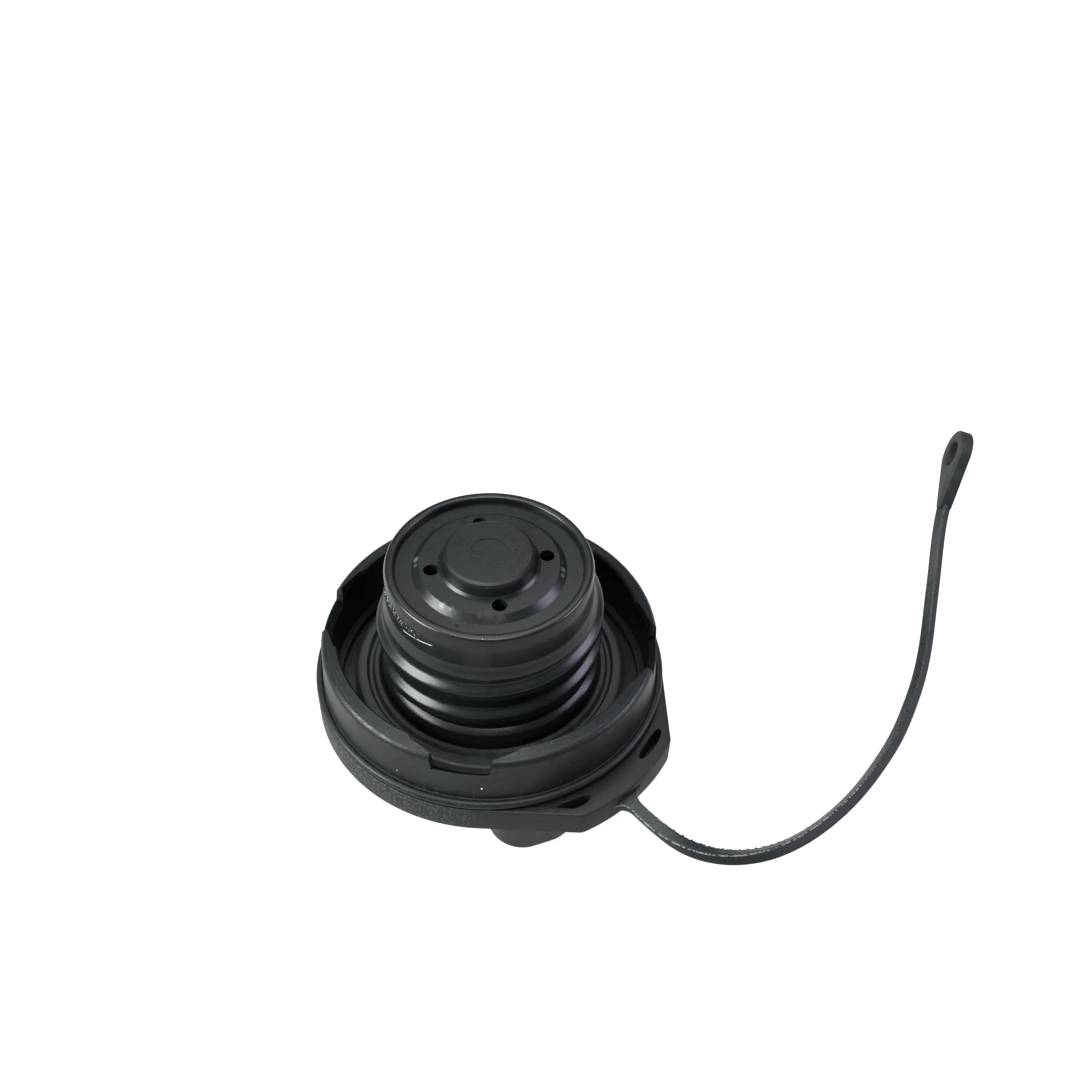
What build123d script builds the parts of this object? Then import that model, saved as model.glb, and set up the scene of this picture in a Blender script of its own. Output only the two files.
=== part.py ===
"""Screw-in fuel filler cap: grip cover, lobed skirt, ratchet, threaded plug, valves and tether.

The cap stands on its grip bar with the nose up. The origin is on the cap's axis at the
grip's resting face, +Z points out of the nose and the grip bar runs along Y. All sizes
are in millimetres and all angles in degrees, counted from +X towards +Y.
"""
from build123d import *
import os
from math import cos, degrees, radians, sin, tan

# ---------------------------------------------------------------- driving dimensions
# Fits, used wherever two pieces meet
turn_gap = 0.1            # radial gap of pieces that turn or slide on each other
press_gap = 0.05          # gap of pieces that are snapped or welded together
free_gap = 0.3            # gap of pieces that only pass each other

# Grip cover: the handle moulding, a disc with a hollow grip bar and a central hub
grip_height = 15.0        # resting face to the underside of the disc
grip_length = 68.4        # bar length at the resting face
grip_width = 19.0         # bar width at the resting face
grip_draft = 0.9          # the bar is this much larger all round at the disc
grip_corner = 7.5
grip_turn = 6.0           # the bar is turned this far from the Y axis
grip_foot_edge = 1.5      # rounding round the resting face
grip_wall = 2.2           # wall of the hollow bar
scoop_depth = 3.0         # finger scoop along each side of the bar
scoop_length = 42.0
cover_reach = 0.6         # the disc stands out from the skirt by this much
cover_rim = 1.4           # thickness of the disc's rim
floor_thickness = 2.2     # thickness of the disc inside the skirt
snap_ring_height = 2.0    # ridge on the floor that the skirt snaps over
snap_ring_wall = 1.6
hub_wall = 1.8            # tube on the floor that the plug turns on
hub_key_count = 4
hub_key_width = 3.0
hub_key_depth = 1.0
finger_count = 6          # snap fingers at the top of the hub
finger_slot = 2.0
barb_height = 1.8
barb_reach = 0.9

# Skirt ring: the lobed shroud round the filler neck
skirt_radius = 36.0       # outside of the wall at its foot
skirt_taper = 0.25        # the wall leans in by this much at the lobes' shoulder
skirt_wall = 1.7
bead_reach = 1.8          # half-round bead above the tether ring
bead_height = 1.5
gap_floor = 30.4          # height of the wall in the four gaps
shoulder_height = 33.9    # height of the lobes' shoulder
lip_reach = 2.0           # the lobes' lip runs inwards this far from the wall
lip_rise = 0.7            # the lip's inner edge stands this much above the shoulder
lip_thickness = 1.3
gap_count = 4
gap_angle = 18.6          # width of a gap at the wall
gap_direction = -22.5     # direction of the first gap
gap_draft = 10.0          # the gaps widen upwards
gap_floor_drop = 1.8      # the wall's top in a gap slopes down inwards by this much
lip_end_taper = 9.0       # the lip ends this many degrees before the wall does

# Tether: ring, lobe, strap and eyelet, moulded in one piece
tether_height = 6.4       # ring height
tether_wall = 1.7
lobe_reach = 5.4          # the lobe that carries the strap stands out this far
lobe_direction = 300.0
lobe_half_angle = 21.0
lobe_corner = 3.0         # corner radius of the lobe's outline
lobe_web = 1.8            # thickness of the lobe's top
slot_width = 2.1          # two curved slots in the web
slot_rim = 0.5            # ledge between a slot and the lobe's wall
slot_half_angle = 6.4
slot_directions = (280.8, 313.8)
strap_width = 2.7
strap_thickness = 2.4
strap_corner = 0.6
strap_direction = 297.0   # where the strap leaves the lobe
root_flare = 2.8          # radius of the fillets where the strap leaves the lobe
eyelet_radius = 6.0
eyelet_bore = 3.1
eyelet_thickness = 3.0
eyelet_edge = 0.35
eyelet_neck = 13.5        # eyelet centre to the strap's end
eyelet_centre = (126.5, 28.5, 34.0)
eyelet_run = (0.458, 0.664, 0.591)       # direction of the strap where it meets the eyelet
eyelet_axis = (-0.882, 0.425, 0.206)     # direction of the eyelet's bore
strap_route = [                          # middle of the strap from the lobe to the eyelet
    (23.2, -46.1, 18.0), (28.2, -51.9, 16.8), (36.5, -55.0, 14.8), (46.8, -54.1, 12.2),
    (58.0, -49.9, 9.2), (69.4, -43.4, 6.2), (80.9, -35.0, 3.5), (91.9, -25.2, 1.7),
    (100.3, -16.1, 2.0), (106.5, -7.5, 4.9), (110.6, 0.3, 9.9), (114.1, 7.6, 16.0),
    (117.0, 13.5, 21.4),
]

# Plug body: threaded stopper, gasket flange and ratchet drum in one moulding
nose_height = 53.6        # top of the nose's lip
nose_radius = 21.2
nose_lip = 2.1            # width of the lip round the end disc
disc_depth = 1.6          # the end disc lies this far below the lip
pilot_step = 0.2          # the plain wall below the nose is this much larger
pilot_length = 6.2
pilot_top = 1.4           # the plain wall ends this far below the nose's lip
root_step = 0.9           # from the plain wall out to the thread root
root_blend = 3.0          # length of the cone between the two
thread_depth = 1.5
thread_pitch = 7.3
thread_foot = 29.4        # height of the crest where the thread starts
thread_turns = 1.65
thread_foot_direction = 162.0
thread_shoulder = 4.6     # long upper flank
thread_undercut = 0.7     # short lower flank
thread_land = 0.5         # width of the crest
thread_runout = 30.0      # the ridge rises out of the wall over this many degrees
collar_step = 1.2         # collar that the gasket sits round, from the thread root
collar_top = 27.3
flange_top = 21.4         # gasket seat
flange_thickness = 1.4
drum_radius = 29.2
drum_wall = 1.8
tooth_count = 24
tooth_depth = 1.0
disc_ledge = 1.1          # ledge that carries the end disc, round the valves' bore
barb_ledge = 2.0          # ledge at the bore's foot that the hub's barbs hook over
ledge_height = 23.0

# Main gasket
gasket_overhang = 0.35    # the gasket stands out from the drum by this much
gasket_ridge = 1.9        # height of the sealing ridge above the flange
gasket_groove = 1.1       # height of the groove above the flange
gasket_rim = 0.9          # height of the thin outer rim above the flange

# Nose cap: end disc with vents, boss, valve seat tube
cap_wall = 1.6
disc_rim = 3.35           # flat rim of the end disc, outside its conical step
step_width = 1.45
step_rise = 1.2
boss_radius = 9.5
boss_foot = 1.0           # width of the cone at the boss's foot
boss_rise = 3.15
boss_edge = 0.9
gate_mark_radius = 3.85
gate_mark_depth = 0.15
vent_count = 4
vent_radius = 1.55
vent_inset = 2.4          # from the step's top edge in to the vents' centres
vent_direction = -3.5
seat_tube_wall = 2.7
seat_tube_length = 4.8
seat_height = 0.6
seat_width = 1.0

# Valves and springs inside the plug
ring_cord = 1.4           # section of the nose cap's O-ring
seal_thickness = 1.2
seal_width = 3.2
plate_inset = 1.0         # the pressure plate is this much smaller than the bore
plate_thickness = 1.2
plate_tab_count = 6
plate_tab_width = 3.0
retainer_thickness = 0.8
vacuum_seat_radius = 4.0
vacuum_seat_rise = 0.8
vacuum_port_radius = 0.7
vacuum_port_circle = 2.8
stem_radius = 1.4
poppet_radius = 5.4
poppet_thickness = 1.1
vacuum_seal_thickness = 0.9
vacuum_spring_length = 4.8
clip_thickness = 0.8
clip_radius = 3.6
spring_inset = 4.6        # from the bore in to the pressure spring's middle line
pressure_spring_wire = 1.4
pressure_spring_turns = 4.5
vacuum_spring_radius = 2.6
vacuum_spring_wire = 0.45
vacuum_spring_turns = 4.5
spring_seat_height = 3.0
spring_seat_wall = 0.75
spring_seat_disc = 1.4
spring_seat_hole = 4.0
spring_seat_slots = 6     # curved air slots in the seat's disc
air_slot_width = 4.0
air_slot_half_angle = 18.0
guide_height = 1.0        # rings that centre the pressure spring's end coils
guide_wall = 0.8
drive_ring_height = 2.2
drive_ring_band = 3.4     # width of the drive ring's solid band
pawl_count = 3
pawl_band = 1.5
pawl_travel = 2.4         # from the teeth's tips in to the pawl arms' middle line
pawl_sweep = 62.0         # length of a pawl arm
pawl_clearance = 0.15     # gap between a resting pawl and the teeth

# ---------------------------------------------------------------- worked-out levels
disc_bottom = grip_height
floor_top = disc_bottom + floor_thickness
rim_top = disc_bottom + cover_rim
tether_bottom = disc_bottom
tether_top = tether_bottom + tether_height
bead_bottom = tether_top + free_gap
drum_bottom = floor_top + free_gap
flange_bottom = flange_top - flange_thickness
barb_bottom = ledge_height + turn_gap
hub_top = barb_bottom + barb_height
disc_top = nose_height - disc_depth
cap_bottom = disc_top - cap_wall
plateau_top = disc_top + step_rise
boss_top = plateau_top + boss_rise
tube_bottom = cap_bottom - seat_tube_length
seat_level = tube_bottom - seat_height
plate_top = seat_level - seal_thickness
plate_bottom = plate_top - plate_thickness
retainer_top = plate_top + retainer_thickness
vacuum_seat_top = retainer_top + vacuum_seat_rise
vacuum_seal_top = vacuum_seat_top + vacuum_seal_thickness
poppet_top = vacuum_seal_top + poppet_thickness
clip_top = plate_bottom - vacuum_spring_length
seat_disc_top = ledge_height + spring_seat_height + spring_seat_disc
pilot_foot = nose_height - pilot_top - pilot_length

# ---------------------------------------------------------------- worked-out radii
skirt_inner = skirt_radius - skirt_wall
cover_radius = skirt_radius + cover_reach
bead_radius = skirt_radius + bead_reach
lip_radius = skirt_inner - lip_reach
tether_bore = skirt_radius + turn_gap
tether_radius = tether_bore + tether_wall
lobe_radius = tether_radius + lobe_reach
slot_radius = lobe_radius - tether_wall - slot_rim - slot_width / 2
pilot_radius = nose_radius + pilot_step
root_radius = pilot_radius + root_step
crest_radius = root_radius + thread_depth
collar_radius = root_radius + collar_step
gasket_radius = drum_radius + gasket_overhang
drum_inner = drum_radius - drum_wall
tooth_tip = drum_inner - tooth_depth
pawl_middle = tooth_tip - pawl_travel
cap_disc_radius = nose_radius - nose_lip
bore_radius = cap_disc_radius - disc_ledge
hub_radius = bore_radius - barb_ledge
hub_bore = hub_radius - hub_wall
plug_hub_bore = hub_radius + turn_gap
step_outer = cap_disc_radius - disc_rim
step_inner = step_outer - step_width
vent_circle = step_inner - vent_inset
boss_foot_radius = boss_radius + boss_foot
seat_tube_radius = bore_radius - turn_gap
plate_radius = bore_radius - plate_inset
seal_outer = plate_radius - 0.2
seal_inner = seal_outer - seal_width
pressure_spring_radius = bore_radius - spring_inset


# ---------------------------------------------------------------- helpers
def turned(profile):
    """Solid of revolution about Z from a list of (radius, height) points."""
    outline = Polyline([(r, 0, z) for r, z in profile], close=True)
    return revolve(make_face(outline), Axis.Z)


def ring(inner, outer, bottom, top):
    """Plain ring about Z."""
    return turned([(inner, bottom), (outer, bottom), (outer, top), (inner, top)])


def around(count, first=0.0):
    """Directions of `count` equal features round the axis."""
    return [first + 360.0 * i / count for i in range(count)]


def at(radius, direction):
    """Point in the XY plane, from its radius and direction."""
    return (radius * cos(radians(direction)), radius * sin(radians(direction)))


def sector(inner, outer, middle, half_angle):
    """Flat piece of a ring between two directions."""
    arc_out = ThreePointArc(
        at(outer, middle - half_angle), at(outer, middle), at(outer, middle + half_angle))
    arc_in = ThreePointArc(
        at(inner, middle + half_angle), at(inner, middle), at(inner, middle - half_angle))
    sides = Line(arc_out @ 1, arc_in @ 0) + Line(arc_in @ 1, arc_out @ 0)
    return make_face(arc_out + arc_in + sides)


def coil(radius, wire, bottom, top, turns):
    """Compression spring whose wire touches the levels `bottom` and `top`."""
    length = top - bottom - wire
    path = Helix(pitch=length / turns, height=length, radius=radius)
    start = Plane(origin=path @ 0, z_dir=path % 0)
    spring = sweep(start * Circle(wire / 2), path=path, is_frenet=True)
    return Pos(0, 0, bottom + wire / 2) * spring


# ---------------------------------------------------------------- handle
def grip_outline(margin):
    """Bar in plan, `margin` larger all round than at the resting face."""
    width = grip_width + 2 * margin
    outline = RectangleRounded(width, grip_length + 2 * margin, grip_corner + margin)
    half = scoop_length / 2
    scoop = (half ** 2 + scoop_depth ** 2) / (2 * scoop_depth)
    for side in (-1, 1):
        outline -= Pos(side * (width / 2 - scoop_depth + scoop), 0) * Circle(scoop)
    return outline


def grip_bar():
    """Bar with a finger scoop on each side, drawn out towards the disc."""
    root = Pos(0, 0, disc_bottom) * grip_outline(grip_draft)
    bar = loft([grip_outline(0).face(), root.face()])
    return fillet(bar.faces().sort_by(Axis.Z)[0].edges(), grip_foot_edge)


def grip_pockets():
    """Three pockets that core the bar from inside, parted by the ribs under the hub."""
    core = grip_outline(-grip_wall)
    across = 2 * grip_width
    hub_zone = Rectangle(across, 2 * (hub_bore - 1.5))
    rib_zone = Rectangle(across, 2 * (hub_radius + 1.5))
    plan = (core & hub_zone) + (core - rib_zone)
    return extrude(Pos(0, 0, grip_wall) * plan, floor_top)


def hub():
    """Tube with keys for the drive ring and a crown of barbed snap fingers."""
    tube = ring(hub_bore, hub_radius, floor_top, hub_top)
    barb_edge = hub_radius + barb_reach
    barb = turned([
        (hub_radius - 0.5, barb_bottom), (barb_edge, barb_bottom), (barb_edge, barb_bottom + 0.5),
        (hub_radius - 0.2, hub_top), (hub_radius - 0.5, hub_top)])
    key = Box(hub_key_depth + 0.5, hub_key_width, drive_ring_height,
              align=(Align.MIN, Align.CENTER, Align.MIN))
    keys = [Rot(0, 0, turn) * Pos(hub_radius - 0.5, 0, floor_top) * key
            for turn in around(hub_key_count, 45.0)]
    slot_bottom = floor_top + drive_ring_height + 0.4
    slot = Box(2 * hub_radius, finger_slot, hub_top, align=(Align.MIN, Align.CENTER, Align.MIN))
    slots = [Rot(0, 0, turn) * Pos(0, 0, slot_bottom) * slot for turn in around(finger_count, 30.0)]
    return tube + barb + keys - slots


def grip_cover():
    disc = turned([
        (0, disc_bottom), (cover_radius - 0.6, disc_bottom), (cover_radius, disc_bottom + 0.6),
        (cover_radius, rim_top), (skirt_inner - press_gap, rim_top),
        (skirt_inner - press_gap, floor_top + snap_ring_height),
        (skirt_inner - snap_ring_wall, floor_top + snap_ring_height),
        (skirt_inner - snap_ring_wall, floor_top), (0, floor_top)])
    turn = Rot(0, 0, grip_turn)
    return disc + turn * grip_bar() - turn * grip_pockets() + hub()


def skirt_ring():
    """Shroud with a bead at its foot and four lobes that curl inwards."""
    shoulder = skirt_radius - skirt_taper
    wall_inner = skirt_inner
    lip_top = shoulder_height + lip_rise
    right = Polyline([
        (wall_inner, rim_top), (skirt_radius, rim_top), (skirt_radius, bead_bottom),
        (bead_radius - 0.4, bead_bottom)])
    bead = ThreePointArc(
        (bead_radius - 0.4, bead_bottom), (bead_radius, bead_bottom + bead_height * 0.45),
        (skirt_radius + 0.35, bead_bottom + bead_height))
    groove = Polyline([
        (skirt_radius + 0.35, bead_bottom + bead_height),
        (skirt_radius - 0.1, bead_bottom + bead_height + 0.1),
        (skirt_radius + 0.15, bead_bottom + bead_height + 0.6), (shoulder, shoulder_height - 1.2)])
    curl = ThreePointArc(
        (shoulder, shoulder_height - 1.2), (shoulder - 0.45, shoulder_height - 0.35),
        (shoulder - 1.5, shoulder_height + 0.15))
    lip = Polyline([
        (shoulder - 1.5, shoulder_height + 0.15), (lip_radius + 0.4, lip_top),
        (lip_radius, lip_top - 0.4), (lip_radius, lip_top - lip_thickness),
        (wall_inner - 0.8, shoulder_height - lip_thickness),
        (wall_inner, shoulder_height - 2.2 * lip_thickness), (wall_inner, rim_top)])
    profile = make_face(right + bead + groove + curl + lip)
    body = revolve(Plane.XZ * profile, Axis.Z)
    floor_slope = turned([
        (skirt_radius - 0.4, gap_floor), (wall_inner - 0.2, gap_floor - gap_floor_drop),
        (wall_inner - 0.2, gap_floor)])
    half = gap_angle / 2
    lip_half = half + lip_end_taper
    for turn in around(gap_count, gap_direction):
        mouth = Polyline([
            at(lip_radius - 2, turn - lip_half - 6), at(lip_radius + 0.2, turn - lip_half),
            at(wall_inner - 0.2, turn - half), at(bead_radius + 4, turn - half),
            at(bead_radius + 4, turn + half), at(wall_inner - 0.2, turn + half),
            at(lip_radius + 0.2, turn + lip_half), at(lip_radius - 2, turn + lip_half + 6)],
            close=True)
        opening = make_face(mouth)
        body -= extrude(Pos(0, 0, gap_floor) * opening, lip_top - gap_floor + 1, taper=-gap_draft)
        body -= floor_slope & extrude(opening, gap_floor + 1)
    return body


def drive_ring():
    """Ring keyed on the hub, with sprung pawls that reach into the drum's teeth."""
    inner = hub_radius + press_gap
    outer = inner + drive_ring_band
    flat = Circle(outer) - Circle(inner)
    for turn in around(hub_key_count, 45.0):
        keyway = Rectangle(2 * (hub_key_depth + press_gap), hub_key_width + 2 * press_gap)
        flat -= Rot(0, 0, turn) * Pos(inner, 0) * keyway
    tooth_step = 360.0 / tooth_count
    for turn in around(pawl_count):
        arm = sector(pawl_middle - pawl_band / 2, pawl_middle + pawl_band / 2,
                     turn + pawl_sweep / 2, pawl_sweep / 2)
        root = sector(outer - 0.5, pawl_middle + pawl_band / 2, turn + pawl_sweep - 4, 4)
        nib = make_face(Polyline([
            at(pawl_middle, turn), at(drum_inner - pawl_clearance, turn + 1.2),
            at(pawl_middle + 0.4, turn + tooth_step * 0.8), at(pawl_middle, turn + tooth_step)],
            close=True))
        flat += [arm, root, nib]
    return Pos(0, 0, floor_top) * extrude(flat, drive_ring_height)


# ---------------------------------------------------------------- tether
def lobe_outline():
    """Outline of the ring with its lobe: a crown between two rounded corners."""
    corner_radius = lobe_radius - lobe_corner
    crown_half = lobe_half_angle - degrees(lobe_corner / corner_radius)
    corners = [Pos(*at(corner_radius, lobe_direction + side * crown_half)) * Circle(lobe_corner)
               for side in (-1, 1)]
    hull = make_hull(Circle(tether_radius).edges() + corners[0].edges() + corners[1].edges())
    return hull + sector(skirt_radius, lobe_radius, lobe_direction, crown_half)


def strap_path():
    """Straight runs joined by arcs, each arc as large as its two runs allow."""
    run = Vector(*eyelet_run).normalized()
    end = Vector(*eyelet_centre) - run * eyelet_neck
    start = at(lobe_radius - tether_wall, strap_direction)
    points = [Vector(*start, strap_route[0][2])] + [Vector(*p) for p in strap_route] + [end]
    radii = []
    for before, here, after in zip(points, points[1:], points[2:]):
        turn = (here - before).get_angle(after - here)
        shorter = min((here - before).length, (after - here).length)
        radii.append(0.45 * shorter / tan(radians(turn) / 2))
    return FilletPolyline(*points, radius=radii)


def strap():
    path = strap_path()
    across = Vector(0, 0, 1).cross(path % 0).normalized()
    start = Plane(origin=path @ 0, x_dir=across, z_dir=path % 0)
    section = RectangleRounded(strap_width, strap_thickness, strap_corner)
    return sweep(start * section, path=path)


def strap_root():
    """Flared foot where the strap grows out of the lobe's wall."""
    reach = root_flare
    width = strap_width + 2 * reach
    plate = Pos(lobe_radius - 0.4, 0) * Rectangle(reach + 0.4, width, align=(Align.MIN, Align.CENTER))
    for side in (-1, 1):
        plate -= Pos(lobe_radius + reach, side * width / 2) * Circle(reach)
    level = strap_route[0][2] - strap_thickness / 2
    return Rot(0, 0, strap_direction) * Pos(0, 0, level) * extrude(plate, strap_thickness)


def eyelet():
    """Drop-shaped tab with a bore, its neck pointing back along the strap."""
    plane = Plane(origin=eyelet_centre, x_dir=eyelet_run, z_dir=eyelet_axis)
    neck = Pos(-eyelet_neck, 0) * Circle(strap_width / 2)
    outline = make_hull(Circle(eyelet_radius).edges() + neck.edges())
    tab = extrude(plane * outline, eyelet_thickness / 2, both=True)
    faces = tab.faces().filter_by(lambda face: abs(face.normal_at().dot(plane.z_dir)) > 0.99)
    tab = chamfer(faces.edges(), eyelet_edge)
    return tab - extrude(plane * Circle(eyelet_bore), eyelet_thickness, both=True)


def tether():
    """Ring with a hollow lobe that is open below, and the strap with its eyelet."""
    outline = lobe_outline()
    hollow = offset(outline, -tether_wall)
    band = extrude(outline, tether_height)
    band = chamfer(band.faces().sort_by(Axis.Z)[-1].edges(), 0.3)
    band -= Cylinder(tether_bore, 3 * tether_height)
    band -= Cylinder(cover_radius + free_gap, 2 * (cover_rim + press_gap))
    band -= extrude(hollow - Circle(tether_radius + 0.5), tether_height - lobe_web)
    for direction in slot_directions:
        slot = sector(slot_radius - slot_width / 2, slot_radius + slot_width / 2,
                      direction, slot_half_angle)
        band -= extrude(slot & hollow, tether_height)
    return Pos(0, 0, tether_bottom) * band + strap_root() + strap() + eyelet()


# ---------------------------------------------------------------- plug
def thread_run_out(direction, level, side):
    """Wedge that planes the ridge down to the wall over its last few degrees."""
    outside = crest_radius + 3
    ramp_top = direction - side * thread_runout
    beyond = direction + side * 20
    plan = Polyline([
        at(root_radius - 0.05, direction), at(crest_radius + 0.1, ramp_top), at(outside, ramp_top),
        at(outside, beyond), at(root_radius - 0.05, beyond)], close=True)
    reach = thread_shoulder + 1.3
    return Pos(0, 0, level - 1.4) * extrude(make_face(plan), reach + 1.4)


def thread():
    """Right-hand ridge with a long upper flank and a short lower one."""
    rise = thread_pitch * thread_turns
    path = Helix(pitch=thread_pitch, height=rise, radius=crest_radius)
    sunk = root_radius - 0.6
    foot = thread_undercut + thread_land / 2
    section = make_face(Polyline([
        (sunk, -foot - 0.25), (crest_radius, -thread_land / 2), (crest_radius, thread_land / 2),
        (crest_radius - 0.35, thread_land + 0.9), (sunk, thread_shoulder + 1.2)], close=True))
    ridge = sweep(Plane.XZ * section, path=path, is_frenet=True)
    ridge = Rot(0, 0, thread_foot_direction) * Pos(0, 0, thread_foot) * ridge
    end_direction = thread_foot_direction + 360 * thread_turns
    ridge -= thread_run_out(thread_foot_direction, thread_foot, -1)
    ridge -= thread_run_out(end_direction, thread_foot + rise, 1)
    return ridge - ring(pilot_radius, crest_radius + 1, pilot_foot, nose_height)


def plug_body():
    lip_crown = nose_radius - nose_lip * 0.45
    shell = turned([
        (drum_inner, drum_bottom), (drum_radius, drum_bottom), (drum_radius, flange_top),
        (collar_radius, flange_top), (collar_radius, collar_top - 0.4),
        (collar_radius - 0.4, collar_top), (root_radius, collar_top + 0.6),
        (root_radius, pilot_foot - root_blend), (pilot_radius, pilot_foot),
        (pilot_radius, pilot_foot + pilot_length), (nose_radius, nose_height - 0.8),
        (nose_radius - 0.35, nose_height - 0.2),
        (lip_crown, nose_height), (cap_disc_radius + 0.5, nose_height - 0.3),
        (cap_disc_radius + press_gap, disc_top), (cap_disc_radius + press_gap, cap_bottom),
        (bore_radius, cap_bottom), (bore_radius, ledge_height), (plug_hub_bore, ledge_height),
        (plug_hub_bore, flange_bottom), (drum_inner, flange_bottom)])
    tooth_step = 360.0 / tooth_count
    tooth = make_face(Polyline([
        at(drum_inner + 0.3, 0), at(tooth_tip, 0), at(tooth_tip + 0.1, -2.0),
        at(drum_inner + 0.3, -tooth_step * 0.82)], close=True))
    teeth = [Rot(0, 0, turn) * Pos(0, 0, drum_bottom) * extrude(tooth, flange_bottom - drum_bottom)
             for turn in around(tooth_count)]
    return shell + thread() + teeth


def main_gasket():
    inner = collar_radius + press_gap
    ridge, groove, rim = (flange_top + h for h in (gasket_ridge, gasket_groove, gasket_rim))
    span = gasket_radius - inner
    return turned([
        (inner, flange_top), (gasket_radius, flange_top), (gasket_radius, rim),
        (inner + 0.86 * span, ridge - 0.15), (inner + 0.78 * span, ridge), (inner + 0.56 * span, ridge),
        (inner + 0.46 * span, groove), (inner + 0.36 * span, groove),
        (inner + 0.26 * span, ridge), (inner + 0.12 * span, ridge), (inner, groove)])


def nose_cap():
    """End disc with a stepped plateau, a hollow boss, vents and the pressure valve's seat."""
    under_step = step_inner - 0.6
    groove_bottom = seat_tube_radius - ring_cord
    ring_top = cap_bottom - 1.0
    tube_inner = seat_tube_radius - seat_tube_wall
    seat_outer = tube_inner + 0.4 + seat_width
    body = turned([
        (0, boss_top), (boss_radius - boss_edge, boss_top), (boss_radius - 0.25, boss_top - 0.25),
        (boss_radius, boss_top - boss_edge), (boss_foot_radius - 0.5, plateau_top + 0.5),
        (boss_foot_radius, plateau_top), (step_inner, plateau_top), (step_outer, disc_top),
        (cap_disc_radius, disc_top), (cap_disc_radius, cap_bottom), (seat_tube_radius, cap_bottom),
        (seat_tube_radius, ring_top), (groove_bottom, ring_top), (groove_bottom, ring_top - ring_cord),
        (seat_tube_radius, ring_top - ring_cord), (seat_tube_radius, tube_bottom),
        (seat_outer, tube_bottom), (seat_outer - 0.2, seat_level),
        (tube_inner + 0.6, seat_level), (tube_inner + 0.4, tube_bottom), (tube_inner, tube_bottom),
        (tube_inner, cap_bottom), (under_step, cap_bottom + step_rise - 0.4),
        (boss_radius - 0.9, cap_bottom + step_rise - 0.4),
        (boss_radius - cap_wall, boss_top - cap_wall), (0, boss_top - cap_wall)])
    vent = Cylinder(vent_radius, 3 * boss_rise)
    vents = [Pos(*at(vent_circle, turn), disc_top) * vent for turn in around(vent_count, vent_direction)]
    mark = Pos(0, 0, boss_top) * Cylinder(gate_mark_radius, 2 * gate_mark_depth)
    return body - vents - mark


# ---------------------------------------------------------------- valves
def nose_o_ring():
    level = cap_bottom - 1.0 - ring_cord / 2
    return Pos(0, 0, level) * Torus(bore_radius - press_gap - ring_cord / 2, ring_cord / 2)


def pressure_seal():
    return ring(seal_inner, seal_outer, plate_top, seat_level)


def spring_guide(bottom):
    """Low ring inside the pressure spring that keeps its end coil centred."""
    outer = pressure_spring_radius - pressure_spring_wire / 2 - turn_gap
    return ring(outer - guide_wall, outer, bottom, bottom + guide_height)


def pressure_plate():
    """Disc with guide tabs on its rim and vacuum ports round the stem's hole."""
    disc = ring(stem_radius + turn_gap, plate_radius, plate_bottom, plate_top)
    disc += spring_guide(plate_bottom - guide_height)
    tab = Box(2 * (bore_radius - free_gap - plate_radius), plate_tab_width, plate_thickness,
              align=(Align.CENTER, Align.CENTER, Align.MIN))
    tabs = [Rot(0, 0, turn) * Pos(plate_radius, 0, plate_bottom) * tab for turn in around(plate_tab_count)]
    return disc + tabs - vacuum_ports(plate_bottom - 1, plate_top + 1)


def vacuum_ports(bottom, top):
    port = Cylinder(vacuum_port_radius, top - bottom, align=(Align.CENTER, Align.CENTER, Align.MIN))
    return [Pos(*at(vacuum_port_circle, turn), bottom) * port for turn in around(4, 45.0)]


def seal_retainer():
    """Pressed washer that clamps the seal and carries the vacuum valve's seat."""
    seat_in = vacuum_seat_radius - 0.2
    seat_out = vacuum_seat_radius + 0.4
    body = turned([
        (stem_radius + turn_gap, plate_top), (seal_inner - press_gap, plate_top),
        (seal_inner - press_gap, retainer_top), (seat_out + 0.5, retainer_top),
        (seat_out, vacuum_seat_top), (seat_in, vacuum_seat_top), (seat_in, retainer_top),
        (stem_radius + turn_gap, retainer_top)])
    return body - vacuum_ports(plate_top - 1, retainer_top + 1)


def vacuum_seal():
    return ring(stem_radius + press_gap, poppet_radius - 0.3, vacuum_seat_top, vacuum_seal_top)


def vacuum_poppet():
    """Head and stem, with a groove near the stem's end for the clip."""
    foot = clip_top - clip_thickness - 1.2
    return turned([
        (0, foot), (stem_radius - 0.3, foot), (stem_radius, foot + 0.4),
        (stem_radius, clip_top - clip_thickness), (stem_radius - 0.4, clip_top - clip_thickness),
        (stem_radius - 0.4, clip_top), (stem_radius, clip_top), (stem_radius, vacuum_seal_top),
        (poppet_radius, vacuum_seal_top), (poppet_radius, poppet_top - 0.3),
        (poppet_radius - 0.5, poppet_top), (0, poppet_top)])


def vacuum_clip():
    """Open washer pressed into the stem's groove to hold the vacuum spring."""
    inner = stem_radius - 0.4 + press_gap
    washer = ring(inner, clip_radius, clip_top - clip_thickness, clip_top)
    mouth = Pos(0, 0, clip_top - clip_thickness) * Box(
        2 * clip_radius, 1.6 * inner, clip_thickness, align=(Align.MIN, Align.CENTER, Align.MIN))
    return washer - mouth


def spring_seat():
    """Cup on the ledge that carries the pressure spring, open to the air through slots."""
    outer = bore_radius - press_gap
    wall_inner = outer - spring_seat_wall
    disc_bottom_level = seat_disc_top - spring_seat_disc
    cup = turned([
        (spring_seat_hole, disc_bottom_level), (wall_inner, disc_bottom_level),
        (wall_inner, ledge_height), (outer, ledge_height), (outer, seat_disc_top),
        (spring_seat_hole, seat_disc_top)])
    slot_outer = pressure_spring_radius - pressure_spring_wire / 2 - guide_wall - 1.4
    plan = sector(slot_outer - air_slot_width, slot_outer, 0, air_slot_half_angle)
    slot = extrude(Pos(0, 0, ledge_height) * plan, seat_disc_top - ledge_height + 1)
    slots = [Rot(0, 0, turn) * slot for turn in around(spring_seat_slots)]
    return cup + spring_guide(seat_disc_top) - slots


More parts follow.
